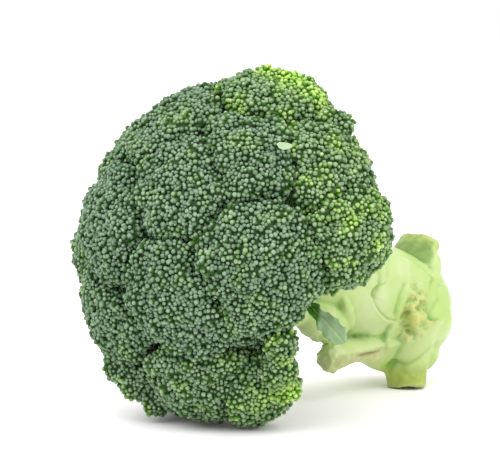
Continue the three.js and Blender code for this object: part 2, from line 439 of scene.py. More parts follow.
def from_line(places, marks):
    """Distance from places to a line of marks on the stalk, in metres, negative on its right side.

    Also how strong the line is beside each place: 1 along it, going to 0 at its two ends.
    """
    round_way = np.arctan2(places[:, 1], places[:, 0]) * STALK_WIDEST
    flat = np.stack([round_way, places[:, 2]], axis=1)
    line = [np.array((math.radians(turn) * STALK_WIDEST, height * MM)) for turn, height in marks]
    best = np.full(len(places), 1.0)
    side = np.ones(len(places))
    run = np.zeros(len(places))
    gone = 0.0
    full_turn = 2 * math.pi * STALK_WIDEST
    for index, (start, end) in enumerate(zip(line, line[1:])):
        along = end - start
        away = flat - start
        away[:, 0] = (away[:, 0] + full_turn / 2) % full_turn - full_turn / 2
        way = away @ along / (along @ along)
        share = np.clip(way, 0.0, 1.0)
        apart = np.linalg.norm(away - share[:, None] * along, axis=1)
        past_end = ((way < 0) & (index == 0)) | ((way > 1) & (index == len(line) - 2))
        apart = np.where(past_end, apart * PAST_END, apart)
        nearer = apart < best
        best = np.where(nearer, apart, best)
        side = np.where(nearer, np.sign(along[0] * away[:, 1] - along[1] * away[:, 0]), side)
        run = np.where(nearer, gone + share * np.linalg.norm(along), run)
        gone += np.linalg.norm(along)
    return best * side, step_up(np.minimum(run, gone - run), 0.0, LINE_TAPER)


def arc(start, bend, end, steps):
    """Points on a smooth curve from start to end, drawn towards bend."""
    found = []
    for step in range(steps + 1):
        share = step / steps
        found.append(start * (1 - share) ** 2 + bend * 2 * share * (1 - share) + end * share ** 2)
    return found


def grow_stems(name, stems, roundness):
    """Stems as one mesh. A stem is a list of (place, radius); roundness adds sides to its section."""
    curve = bpy.data.curves.new(name, "CURVE")
    curve.dimensions = "3D"
    curve.bevel_depth = 1.0
    curve.bevel_resolution = roundness
    curve.use_fill_caps = True
    for stem in stems:
        spline = curve.splines.new("POLY")
        spline.points.add(len(stem) - 1)
        for point, (place, radius) in zip(spline.points, stem):
            point.co = (*place, 1.0)
            point.radius = radius
    pick(put_in(name, curve))
    bpy.ops.object.convert(target="MESH")
    grown = bpy.context.view_layer.objects.active
    open_mesh(grown)
    bpy.ops.mesh.remove_doubles(threshold=WELD)
    bpy.ops.mesh.normals_make_consistent(inside=False)
    bpy.ops.object.mode_set(mode="OBJECT")
    return grown


# tilt is the angle of a floret from the head's axis and turn its angle around the axis from +X, in
# degrees. reach runs from the head's middle to the bud tops, round is the radius of the dome, rise
# the height at which its branch leaves the stalk, and thick the radius of that branch, all in mm.
# fresh is how yellow-green its buds are.
FLORETS = {
    "crown_top": (13, 40, 73, 35, -14, 6, 0.10),
    "crown_left": (27, -160, 74, 35, -20, 6, 0.05),
    "crown_low": (31, -74, 73, 34, -22, 6, 0.08),
    "front_right": (42, -20, 76, 32, -34, 6.5, 0.12),
    "upper_mid": (38, 38, 73, 34, -30, 6, 0.14),
    "upper_left": (36, 107, 72, 35, -28, 6, 0.10),
    "right_shoulder": (65, 30, 74, 32, -58, 7, 0.34),
    "right_rim": (75, 8, 76, 27, -66, 6.5, 0.34),
    "top_rim": (65, 71, 77, 31, -60, 7, 0.34),
    "top_back": (70, 114, 70, 33, -66, 7, 0.22),
    "left_upper_rim": (62, 152, 71, 34, -56, 7, 0.18),
    "left_rim": (66, -168, 76, 35, -62, 7, 0.15),
    "left_lower_rim": (58, -132, 76, 34, -54, 7, 0.12),
    "bottom_left": (88, -115, 79, 32, -68, 7, 0.20),
    "bottom_mid": (79, -91, 78, 31, -58, 7, 0.22),
    "bottom_right": (87, -75, 77.5, 24, -70, 6.5, 0.34),
}
NECK_DEPTH = 13 * MM                # from the middle of a dome down to where its branch divides
BRANCH_FOOT = 0.55                  # where a branch starts, as a share of the stalk's radius there
LEAN = 0.5                          # how far a floret faces outwards rather than along its branch
BRANCH_STEPS = 14
FUSED_STEPS = 7                     # of those, the steps that are fused with the stalk
FOOT_THINNING = (1, 1, 1, 1, 1, 1, 0.98, 0.88)   # so that a branch comes out of its foot without a step


def direction_of(tilt, turn):
    polar, around = math.radians(tilt), math.radians(turn)
    return Vector((
        math.sin(polar) * math.cos(around),
        math.sin(polar) * math.sin(around),
        math.cos(polar),
    ))


def lay_out(tilt, turn, reach, round_, rise, thick, fresh):
    """Where a floret's dome is centred, which way it faces, and the points of its branch, upright."""
    outward = direction_of(tilt, turn)
    centre = outward * (reach - round_) * MM
    foot = direction_of(90, turn) * BRANCH_FOOT * float(stalk_radius(rise * MM))
    foot.z = rise * MM
    climb = (centre - foot).normalized()
    facing = climb.lerp(outward, LEAN).normalized()
    neck = centre - facing * NECK_DEPTH
    length = (neck - foot).length
    path = arc(foot, neck - facing * 0.4 * length, neck, BRANCH_STEPS)
    flare = [1 + 0.75 * (1 - min(step / 6, 1.0)) ** 2 for step in range(BRANCH_STEPS + 1)]
    branch = [(place, thick * MM * size) for place, size in zip(path, flare)]
    return {"centre": centre, "facing": facing, "neck": neck, "round": round_ * MM, "fresh": fresh,
            "branch": branch, "thick": thick * MM}


GROWTH = {name: lay_out(*sizes) for name, sizes in FLORETS.items()}

core = raise_column([((0, 0, z * MM), radius * MM, radius * MM) for radius, z in STALK_PROFILE], STALK_SIDES)
standing, length = stub_frame(*SLICED_STUB)
sliced = raise_column(
    [((0, rise * MM, share * length), wide * MM, deep * MM) for share, rise, wide, deep in SLICED_RINGS],
    STUB_SIDES,
)
set_down(sliced, standing)
slice_middle = (Vector(SLICED_STUB[0]) + Vector(SLICED_STUB[1])) / 2 * MM
slice_off(sliced, slice_middle + SLICE_FACING * SLICE_OFFSET * MM, SLICE_FACING)
rough_shapes = [core, sliced, grow_stub(*TOP_STUB), grow_stub(*FLOOR_STUB)]
for middle, half, turn, lean in SWELLINGS:
    rough_shapes.append(swell([value * MM for value in middle], half, turn, lean))
for turn, height, across, along in NUBS:
    seat = on_stalk(turn, height) * (NUB_SEAT, NUB_SEAT, 1)
    rough_shapes.append(swell(seat, (across * NUB_RISE, across, along), turn))
feet = [
    [(place, size * thinning) for (place, size), thinning in zip(growth["branch"], FOOT_THINNING)]
    for growth in GROWTH.values()
]
rough_shapes.append(grow_stems("feet", feet, 4))

stalk = fuse(rough_shapes, STALK_VOXEL, STALK_SMOOTHING)
stalk.name = "stalk_flesh"

points, normals = places_of(stalk), normals_of(stalk)
turns = np.degrees(np.arctan2(points[:, 1], points[:, 0]))
sunk = np.zeros(len(points))
# edges gathers dark lines of painted shade along the sheath edges and the scratch.
edges = np.zeros(len(points))
from_axis = np.hypot(points[:, 0], points[:, 1])
outside = step_up(from_axis, MARKED_FROM, MARKED_FULL)
for line, proud, low, reach in SHEATH_EDGES:
    apart, strong = from_line(points, line)
    fade = bell(apart, reach * MM) * outside * strong
    over = step_up(apart, -0.9 * MM, 0.6 * MM)
    sunk += fade * (low * (1 - over) - proud * over)
    # A line of painted shade along the foot of the sheath edge.
    edges = np.maximum(edges, 0.5 * bell(apart + 0.7 * MM, 0.8 * MM) * outside * strong)
# The scratch is a groove with a low bank on its right side, and a line of painted shade along its groove.
scratch_away, _ = from_line(points, SCRATCH)
sunk += 0.45 * bell(scratch_away, 0.6 * MM) * outside
sunk -= 0.25 * bell(scratch_away + 1.2 * MM, 0.8 * MM) * outside
edges = np.maximum(edges, 0.7 * bell(scratch_away, 0.5 * MM) * outside)
scar_turn, scar_height, scar_tall, scar_wide = SCAR_FLOOR
over = np.hypot(
    (turns - scar_turn) * math.radians(1) * SCAR_RADIUS / scar_wide,
    (points[:, 2] / MM - scar_height) / scar_tall,
)
scar = (1 - step_up(over, 0.75, 1.1)) * (from_axis > MARKED_FROM)
sunk += scar * (0.55 + 0.45 * rough(points, 1.9 * MM, 3))
waves = sum(high * rough(points * (1, 1, slow), size, seed) for high, slow, size, seed in SKIN_WAVES)
points -= normals * ((sunk - waves) * MM)[:, None]

# Knife cuts: flat and paler, with a fibrous face and a slightly raised, torn rim. near is the distance
# from a cut's middle as a share of its half width.
cuts = np.zeros(len(points))
rings = np.zeros(len(points))
knife_cuts = [(Vector((0, 0, -STALK_END)), Vector((0, 0, -1)), CUT_RADIUS)]
for root, end, wide, _, _ in (TOP_STUB, FLOOR_STUB):
    knife_cuts.append((Vector(end) * MM, stub_frame(root, end)[0].col[2].xyz, wide * MM))
for middle, facing, wide in knife_cuts:
    middle, facing = np.array(middle), np.array(facing)
    depth = (points - middle) @ facing
    near = np.linalg.norm(points - middle - depth[:, None] * facing, axis=1) / wide
    on_face = step_up(depth, -1.6 * MM, -0.7 * MM) * step_up(normals @ facing, 0.45, 0.75) * (near < 1.25)
    cuts = np.maximum(cuts, on_face)
    ragged_depth = depth + 0.8 * MM * rough(points, 2.5 * MM, 15)
    torn_rim = step_up(ragged_depth, -2.6 * MM, -1.2 * MM) * (near < 1.35)
    cuts = np.maximum(cuts, 0.6 * torn_rim)
    rings = np.where(on_face > 0.05, near, rings)
    ragged = 0.8 * rough(points, 1.6 * MM, 11) + 0.7 * rough(points, 4.5 * MM, 12) - 0.6 * (1 - near ** 2)
    points += facing * (on_face * ragged * MM)[:, None]

# The face of the sliced stub is flat too, with a dark slit along its middle.
slice_facing = np.array(SLICE_FACING)
slice_place = np.array(slice_middle + SLICE_FACING * SLICE_OFFSET * MM)
slice_along = np.array((Vector(SLICED_STUB[1]) - Vector(SLICED_STUB[0])).normalized())
slice_across = np.cross(slice_facing, slice_along)
slice_depth = np.abs((points - slice_place) @ slice_facing)
slice_way = (points - slice_place) @ slice_along
sliced_face = (1 - step_up(slice_depth, 0.5 * MM, 1.1 * MM)) * step_up(normals @ slice_facing, 0.8, 0.93)
sliced_face *= (slice_way > -12 * MM) & (slice_way < 30 * MM)
slit = bell((points - slice_place) @ slice_across + 4.0 * MM, 0.75 * MM)
slit *= step_up(slice_way, -9 * MM, -4 * MM) * (1 - step_up(slice_way, 5 * MM, 10 * MM))
points -= slice_facing * (sliced_face * (0.9 * slit + 0.2 * rough(points, 2 * MM, 14)) * MM)[:, None]
# Its tip is torn and dried along its lower edge.
on_tip = step_up(slice_way, 15 * MM, 20 * MM) * (slice_way < 34 * MM) * (points[:, 1] < -24 * MM)
torn = 0.9 * rough(points, 2.6 * MM, 17) + 0.5 * rough(points, 1.4 * MM, 18)
points += normals * (on_tip * torn * MM)[:, None]
torn_tip = on_tip * step_up((points - slice_place) @ slice_across, -1 * MM, 4 * MM)


def inside_stub(root, end):
    """The stalk's points as seen from a stub's root, with the stub's axis on Z, and its length."""
    standing, length = stub_frame(root, end)
    return (points - np.array(standing.translation)) @ np.array(standing.to_3x3()), length


# The side of the top stub that faces the crown is flatter and darker, and both the top stub and the
# floor stub yellow towards their cuts.
inside, length = inside_stub(TOP_STUB[0], TOP_STUB[1])
on_top_stub = step_up(inside[:, 2], 0.22 * length, 0.40 * length) * (inside[:, 2] < length + 3 * MM)
on_top_stub *= 1 - step_up(np.hypot(inside[:, 0], inside[:, 1]), 12 * MM, 17 * MM)
shaded_side = step_up(normals @ np.array(SHADED_FACING), -0.05, 0.3) * on_top_stub
points -= normals * (0.8 * MM * shaded_side)[:, None]
aged = 0.5 * step_up(inside[:, 2], 0.72 * length, length) * on_top_stub
inside, length = inside_stub(FLOOR_STUB[0], FLOOR_STUB[1])
on_floor_stub = 1 - step_up(np.hypot(inside[:, 0], inside[:, 1]), 11 * MM, 15 * MM)
on_floor_stub *= inside[:, 2] < length + 3 * MM
patchy = inside[:, 2] + 2 * MM * rough(points, 5 * MM, 16)
aged = np.maximum(aged, step_up(patchy, 0.58 * length, 0.86 * length) * on_floor_stub)

put_places(stalk, points)
mark(stalk, "cut", np.maximum(np.maximum(cuts, sliced_face), 0.85 * torn_tip))
mark(stalk, "ring", rings)
mark(stalk, "scar", scar * (0.25 + 0.75 * step_up(-hollows(stalk, 14), -0.02 * MM, 0.22 * MM)))
mark(stalk, "shaded", shaded_side)
mark(stalk, "aged", aged)
# Painted shade and highlight: the stalk's colour is darkened in its hollows and along the edge lines, and
# lightened on its rises.
hollow_shade_and_ridge_light = np.maximum(hollows(stalk, 40) / (0.8 * MM), edges) - slit * sliced_face
mark(stalk, "crease_shade_ridge_light", np.clip(hollow_shade_and_ridge_light, -1, 1))
mark(stalk, "slit", slit * sliced_face)
# The scar's colour is darker in its small hollows.
mark(stalk, "scar_hollow_dark", 0.7 * scar * step_up(hollows(stalk, 5), 0.05 * MM, 0.28 * MM))
set_down(stalk, LAID)
keep_above(stalk, 0.0)

FLESH_GREEN = (0.35, 0.482, 0.138, 1)
FLESH_PALE = (0.445, 0.545, 0.245, 1)
stalk_skin, tree = new_material("stalk_skin", (0.52, 0.72, 0.24, 1))
broad = tree.noise(38.0, 3.0)
fine = tree.noise(160.0, 3.0)
flesh_colour = tree.mix(tree.smooth(broad, 0.35, 0.68), FLESH_GREEN, FLESH_PALE)
flesh_colour = tree.mix(tree.smooth(fine, 0.5, 0.8) * 0.35, flesh_colour, (0.52, 0.615, 0.34, 1))
# Painted shade in the hollows and along the edge lines, and a painted highlight on the rises.
crease_shade_ridge_light = tree.attribute("crease_shade_ridge_light")
flesh_colour = tree.mix(tree.smooth(crease_shade_ridge_light, 0.05, 0.9) * 0.75, flesh_colour, (0.13, 0.30, 0.025, 1))
flesh_colour = tree.mix(tree.smooth(0.0 - crease_shade_ridge_light, 0.1, 0.9) * 0.6, flesh_colour, (0.57, 0.65, 0.40, 1))
streaks = tree.noise(210.0, 3.0)
shaded_colour = tree.mix(tree.smooth(streaks, 0.35, 0.7), (0.10, 0.175, 0.03, 1), (0.18, 0.275, 0.06, 1))
flesh_colour = tree.mix(tree.attribute("shaded") * 0.92, flesh_colour, shaded_colour)
aged_colour = tree.mix(tree.smooth(streaks, 0.35, 0.7), (0.24, 0.30, 0.035, 1), (0.35, 0.45, 0.065, 1))
flesh_colour = tree.mix(tree.attribute("aged") * 0.8, flesh_colour, aged_colour)
cut = tree.attribute("cut")
ring = tree.attribute("ring")
cut_noise = tree.noise(300.0, 3.0)
cut_colour = tree.mix(tree.smooth(cut_noise, 0.25, 0.8), (0.34, 0.38, 0.13, 1), (0.48, 0.50, 0.26, 1))
bundles = tree.smooth(ring, 0.62, 0.76) * (1.0 - tree.smooth(ring, 0.80, 0.9))
cut_colour = tree.mix(bundles * 0.6, cut_colour, (0.24, 0.34, 0.07, 1))
cut_colour = tree.mix(tree.attribute("slit"), cut_colour, (0.16, 0.10, 0.03, 1))
skin_colour = tree.mix(cut * 0.85, flesh_colour, cut_colour)
dried = tree.mix(tree.smooth(tree.noise(260.0, 2.0), 0.4, 0.6), (0.50, 0.48, 0.16, 1), (0.38, 0.42, 0.08, 1))
skin_colour = tree.mix(tree.attribute("scar") * 0.85, skin_colour, dried)
# Darker in the scar's small hollows.
skin_colour = tree.mix(tree.attribute("scar_hollow_dark"), skin_colour, (0.21, 0.19, 0.035, 1))
relief = tree.noise(240.0, 4.0) * 0.6 + tree.noise(900.0, 3.0) * (0.15 + cut * 0.5)
put_out(
    tree,
    Base_Color=skin_colour, Roughness=0.36 + cut * 0.25 + tree.attribute("scar") * 0.2,
    Subsurface_Weight=0.12, Subsurface_Scale=0.006, Specular_IOR_Level=0.35,
    Normal=tree.bump(relief, 0.25, 0.0006),
)
dress(stalk, stalk_skin)
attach(stalk, "root")
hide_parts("stalk")


# ---------------------------------------------------------------------------------------------------
# Each floret has its own branch, which leaves the stalk and divides into stems, and those again into
# thin stemlets that spread under the buds. It is the stalk's own flesh, grown on it without a joint.
# The thick stems of a floret are fused and softened; its stemlets are plain round tubes set into them.

CLUSTER_GAP = 9.5 * MM              # distance between neighbouring bud clusters on a dome
CLUSTER_SPREAD = math.radians(104)  # the outermost clusters' angle from the way the floret faces
CLUSTER_WOBBLE = 0.07               # how far a cluster strays from its even place, times the dome's radius
CLUSTER_BURIED, FORK_BURIED = 60, 200   # those deeper than this in a neighbour's dome are left out, in mm2
STEM_SPREAD = math.radians(58)
STEMS = 7
FORK_REACH = 0.38                   # where a stem divides, as a share of the dome's radius
GOLDEN_ANGLE = math.pi * (3 - math.sqrt(5))
BED_DEPTH = 8.4 * MM                # from the bud tops down to the ends of the stemlets
BRANCH_VOXEL = 0.9 * MM
BRANCH_SMOOTHING = 9
BRANCH_CLEARANCE = 0.6 * MM         # branches end this far above what the head lies on
TRUNK_SLIM, TRUNK_TAPER = 0.985, 0.24       # a trunk's share of its radius, and what it loses to its neck
STEM_RADIUS, STEM_TAPER = 4.4, 0.33         # of a stem, in mm, and what it loses at each of its steps
STEM_STEPS = 6
STEMLET_RADII = (1.25, 1.7)         # thinnest and thickest stemlet, in mm
TWIGS = 6                           # short twigs at the end of each stemlet
TWIG_SPREAD = math.radians(66)
TWIG_LENGTH = 3.6                   # in mm
LOW_CLUSTER = math.radians(82)      # stemlets of clusters further round than this end deeper


def spread_round(facing, count, widest, middle_out=0.5):
    """count directions spread evenly over the round cap within an angle of a direction.

    middle_out is how far the first one keeps from the middle, in shares of the gap between them.
    """
    across = facing.orthogonal().normalized()
    beside = facing.cross(across)
    found = []
    for index in range(count):
        height = 1 - (index + middle_out) / count * (1 - math.cos(widest))
        width = math.sqrt(max(0.0, 1 - height * height))
        turn = index * GOLDEN_ANGLE
        found.append(facing * height + across * width * math.cos(turn) + beside * width * math.sin(turn))
    return found


def depth_in_others(place, own):
    """How far a place lies on a neighbour's side of the crease between two domes, squared lengths."""
    mine = (place - own["centre"]).length_squared - own["round"] ** 2
    others = (
        (place - other["centre"]).length_squared - other["round"] ** 2
        for other in GROWTH.values() if other is not own
    )
    return mine - min(others)


branch_names = list(FLORETS)
for seed, name in enumerate(branch_names):
    growth = GROWTH[name]
    random.seed(100 + seed)
    centre, facing, neck, radius = growth["centre"], growth["facing"], growth["neck"], growth["round"]
    cap_area = 2 * math.pi * radius ** 2 * (1 - math.cos(CLUSTER_SPREAD))
    count = round(cap_area / CLUSTER_GAP ** 2)
    clusters = []
    for outward in spread_round(facing, count, CLUSTER_SPREAD):
        wobble = Vector([random.uniform(-CLUSTER_WOBBLE, CLUSTER_WOBBLE) for _ in range(3)])
        outward = (outward + wobble).normalized()
        if depth_in_others(centre + outward * radius, growth) < CLUSTER_BURIED * MM * MM:
            clusters.append(outward)
    growth["clusters"] = clusters

    thick = growth["thick"]
    above_stalk = growth["branch"][FUSED_STEPS - 2:]
    trunk = [
        (place, size * (TRUNK_SLIM - TRUNK_TAPER * (step / (len(above_stalk) - 1)) ** 1.5))
        for step, (place, size) in enumerate(above_stalk)
    ]
    trunk.append((neck + facing * 5 * MM, thick * 0.5))
    stems = [trunk]
    forks = []
    for outward in spread_round(facing, STEMS, STEM_SPREAD, 0.2):
        fork = centre + outward * radius * FORK_REACH - facing * 2 * MM
        if depth_in_others(centre + outward * radius * 0.8, growth) > FORK_BURIED * MM * MM:
            continue
        path = arc(neck - facing * 7 * MM, neck + facing * 5 * MM, fork, STEM_STEPS)
        stems.append([(place, (STEM_RADIUS - STEM_TAPER * step) * MM) for step, place in enumerate(path)])
        forks.append(fork)
    if not forks:
        forks.append(neck)
    stemlets = []
    for outward in clusters:
        end = centre + outward * (radius - BED_DEPTH)
        if outward.angle(facing) > LOW_CLUSTER:
            end = centre + outward * (radius - 1.9 * BED_DEPTH)
        fork = min(forks, key=lambda place: (place - end).length)
        bend = fork.lerp(end, 0.45) + (fork - neck) * 0.25
        path = arc(fork - (fork - neck) * 0.18, bend, end, STEM_STEPS)
        slim = random.uniform(*STEMLET_RADII)
        stems.append([(place, (slim + 0.9 - 0.15 * step) * MM) for step, place in enumerate(path[:4])])
        stemlets.append([(place, (slim - 0.06 * step) * MM) for step, place in enumerate(path[2:])])
        base = path[-2]
        for twig in spread_round(outward, TWIGS, TWIG_SPREAD, 0.6):
            twig_end = end + (twig + outward * 0.2) * TWIG_LENGTH * MM
            bend = base.lerp(twig_end, 0.5) + outward * 0.3 * MM
            stemlets.append([(base, 0.9 * MM), (bend, 0.75 * MM), (twig_end, 0.6 * MM)])
    thick_stems = fuse([grow_stems("stems", stems, 3)], BRANCH_VOXEL, BRANCH_SMOOTHING)
    branch = join([thick_stems, grow_stems("stemlets", stemlets, 1)])
    branch.name = "branch_" + name + "_stems"
    branch.data.shade_smooth()
    along = (places_of(branch) - np.array(neck)) @ np.array(facing)
    mark(branch, "young", step_up(along, -22 * MM, 0.55 * radius))
    set_down(branch, LAID)
    keep_above(branch, BRANCH_CLEARANCE)
    growth["stems_piece"] = branch

stem_skin, tree = new_material("stem_skin", (0.42, 0.62, 0.16, 1))
broad = tree.noise(38.0, 3.0)
young = tree.attribute("young")
stem_colour = tree.mix(tree.smooth(broad, 0.35, 0.68), FLESH_GREEN, FLESH_PALE)
stem_colour = tree.mix(young * 0.9, stem_colour, (0.085, 0.22, 0.018, 1))
put_out(
    tree,
    Base_Color=stem_colour, Roughness=0.42, Subsurface_Weight=0.1, Subsurface_Scale=0.004,
    Specular_IOR_Level=0.35, Normal=tree.bump(tree.noise(400.0, 3.0), 0.3, 0.0005),
)
for name in branch_names:
    branch = GROWTH[name]["stems_piece"]
    dress(branch, stem_skin)
    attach(branch, "root")
    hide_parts("branch_" + name)


# ---------------------------------------------------------------------------------------------------
# A floret is a dome of closed flower buds, each a green bead with a blue-grey waxy bloom on its tip, its top
# lightened with painted light and its lower side near black with painted shade. The buds stand side by side
# in small clusters with clefts between them. Under them is a thin bed of bud stalks, painted near black on
# top as the shade in the gaps. One bud is modelled, and a copy is set at every place of an even random
# scatter.

BUD_RADIUS = 0.94 * MM
BUD_HEIGHT = 1.22                   # of a bud's half height, as a share of its radius
BUD_GAP = 1.37 * MM                 # least distance between two buds' middles
BUD_LEAN = 0.45                     # how far a bud leans by chance, in radians
BUD_SIZES = (0.80, 1.28)            # smallest and largest, as a share of the modelled bud
BUD_RAISE = (-0.15 * MM, 1.05 * MM)     # how far a bud stands out of the even surface
BUD_CROWDING = 3500000.0            # places tried per square metre before the too close are dropped
BUD_SINK = 3.1 * MM                 # from the bud tops' surface down to the surface that carries them
BED_VOXEL = 1.5 * MM
BED_THICKNESS = 1.0 * MM
BUD_CLEARANCE = 0.05 * MM           # the lowest buds end this far above what the head lies on
LIFT = 1.0 * MM                     # a low bud is lifted by no more than this, and flattened for the rest
BED_CLEARANCE = 0.4 * MM
CUP_DEPTH = 10.5 * MM               # how deep the buds go into a crease
HEM = (-7.5, 0.5)                   # a floret's buds end between these heights from its middle, in mm
CLUSTER_HALF = 5.0 * MM             # half the width of one cluster of buds
CLUSTER_DOME = 1.3 * MM             # rise of a cluster's middle over the floret's even surface
CLUSTER_CLEFT = -2.3 * MM           # the deepest a cleft between clusters goes under it
CROWN_ENVELOPE = 72.5 * MM          # florets crowd out to this distance from the head's middle
DRIFT = 2.2 * MM                    # how far creases between florets wander
CROWDING = 0.5                      # the share of the way to it that a crease is filled
MOST_FILLED = 4 * MM
# Angles from the head's axis, in degrees, over which the filling and the wandering end.
FILLED_TILTS, DRIFTING_TILTS = (60, 78), (70, 88)
RIM_ANGLE = math.radians(76)        # clusters further than this from a floret's facing hang at its rim
RIM_CLUSTER = (3.6 * MM, 5.6 * MM)  # smallest and largest radius of such a hanging cluster
# Bud clusters that stand out beyond a floret's even dome: tilt, turn, reach and radius in mm.
STRAY_CLUSTERS = {
    "bottom_right": [(72, -46, 62.5, 6.5), (67, -42, 63, 5.5), (78, -53, 66, 7.0), (86, -57, 69, 6.0)],
    "bottom_left": [(71, -120, 73, 7.5), (76, -114, 75, 7.5), (65, -126, 70.5, 7.5), (81, -107, 75.5, 7)],
    "top_rim": [(72, 43, 69.5, 7.5)],
    "right_rim": [(58, 1, 63, 6.0), (61, -4, 63, 5.5)],
}
# Patches of fresher, yellow-green buds: tilt, turn, size in mm, amount.
FRESH_PATCHES = [
    (68, 68, 10, 1.2), (66, 78, 7, 1.0), (71, 58, 9, 1.0), (62, 13, 5, 1.0), (68, 7, 5, 0.9),
    (80, 2, 6, 0.8), (81, 15, 8, 0.6), (32, 92, 8, 0.3), (86, -56, 10, 1.0), (82, -64, 9, 0.6),
    (64, -75, 10, 0.22), (76, 33, 10, 0.4), (60, -8, 8, 0.3), (75, 110, 10, 0.5), (80, 160, 9, 0.5),
    (82, -160, 10, 0.5),
]
FRESH_REACH = 73                    # distance of the patches from the head's middle, in mm
UV_SHARE = 0.94                     # of the UV square is for the buds; the beds share the rest
CELL_FILL, CELL_EDGE = 0.86, 0.07   # a bud's share of its UV cell, and the free edge beside it
BED_UV_SIZE, BED_UV_MIDDLE = 0.026, 0.97    # of a bed's own patch of UV

bpy.ops.object.select_all(action="DESELECT")
bpy.ops.mesh.primitive_uv_sphere_add(segments=7, ring_count=5, radius=BUD_RADIUS)
bud = bpy.context.object
bud.name = "bud"
bud.data.uv_layers[0].name = "OFBake"
bud_points = places_of(bud)
bud_level = bud_points[:, 2] / BUD_RADIUS
bud_turn = np.arctan2(bud_points[:, 1], bud_points[:, 0])
lobes = 1 + 0.06 * np.cos(3 * bud_turn) * step_up(bud_level, -0.6, 0.4)
belly = np.where(bud_level < 0, 1 + 0.32 * bud_level, 1 + 0.10 * bud_level) * lobes
bud_points[:, 0] *= belly
bud_points[:, 1] *= belly
bud_points[:, 2] *= np.where(bud_level > 0, 1.0, 1.45) * BUD_HEIGHT
put_places(bud, bud_points)
bud.data.shade_smooth()
mark(bud, "tip", step_up(bud_level, -0.35, 0.95))
BUD_LOOPS = len(bud.data.loops)
BUD_POINTS = len(bud.data.vertices)


def by_chance(low, high, seed):
    """A value for each bud, drawn anew between two numbers or two vectors."""
    kind = "FLOAT_VECTOR" if isinstance(low, tuple) else "FLOAT"
    return tree.add("FunctionNodeRandomValue", {"data_type": kind}, low, high, Seed=seed)


scatter = bpy.data.node_groups.new("bud_scatter", "GeometryNodeTree")
scatter.interface.new_socket("Geometry", in_out="INPUT", socket_type="NodeSocketGeometry")
seed_input = scatter.interface.new_socket("Seed", in_out="INPUT", socket_type="NodeSocketInt")
scatter.interface.new_socket("Geometry", in_out="OUTPUT", socket_type="NodeSocketGeometry")
tree = Tree(scatter)
bed_input = tree.add("NodeGroupInput", out="Geometry")
seed_value = Value(tree, bed_input.socket.node.outputs["Seed"])
places = tree.add(
    "GeometryNodeDistributePointsOnFaces", {"distribute_method": "POISSON"}, bed_input,
    Distance_Min=BUD_GAP, Density_Max=BUD_CROWDING, Seed=seed_value,
)
standing = Value(tree, places.socket.node.outputs["Rotation"])
wobble = by_chance((-BUD_LEAN, -BUD_LEAN, -math.pi), (BUD_LEAN, BUD_LEAN, math.pi), seed_value)
standing = tree.add(
    "FunctionNodeRotateRotation", {"rotation_space": "LOCAL"}, standing,
    tree.add("FunctionNodeEulerToRotation", None, wobble),
)
size = by_chance(*BUD_SIZES, seed_value)
stood = tree.add(
    "GeometryNodeInstanceOnPoints", None, places, Rotation=standing, Scale=size,
    Instance=tree.add("GeometryNodeObjectInfo", None, bud, out="Geometry"),
)
raised = by_chance((0.0, 0.0, BUD_RAISE[0]), (0.0, 0.0, BUD_RAISE[1]), seed_value + 3.0)
stood = tree.add("GeometryNodeTranslateInstances", None, stood, Translation=raised, Local_Space=True)
shade = by_chance(0.0, 1.0, seed_value + 7.0)
shaded = tree.add(
    "GeometryNodeStoreNamedAttribute", {"data_type": "FLOAT", "domain": "INSTANCE"}, stood,
    Name="shade", Value=shade,
)
realized = tree.add("GeometryNodeRealizeInstances", None, shaded)
tree.add("NodeGroupOutput", None, realized)

laid_turn = LAID.to_3x3()
patch_places = [
    (np.array(LAID @ (direction_of(tilt, turn) * FRESH_REACH * MM)), size * MM, amount)
    for tilt, turn, size, amount in FRESH_PATCHES
]


def freshness(places, base):
    """How yellow-green the buds at these places are, from 0 to 1."""
    found = base * (0.5 + 1.0 * step_up(rough(places, 6.5 * MM, 21), 0.0, 0.5))
    blotch = 1 + 0.5 * rough(places, 4 * MM, 22)
    for middle, size, amount in patch_places:
        near = np.linalg.norm(places - middle, axis=1) / size
        found = np.maximum(found, amount * bell(near * blotch, 1.0))
    return np.clip(found, 0, 1)


def twin(piece):
    """A copy with a mesh of its own."""
    copied = piece.copy()
    copied.data = piece.data.copy()
    bpy.context.collection.objects.link(copied)
    return copied


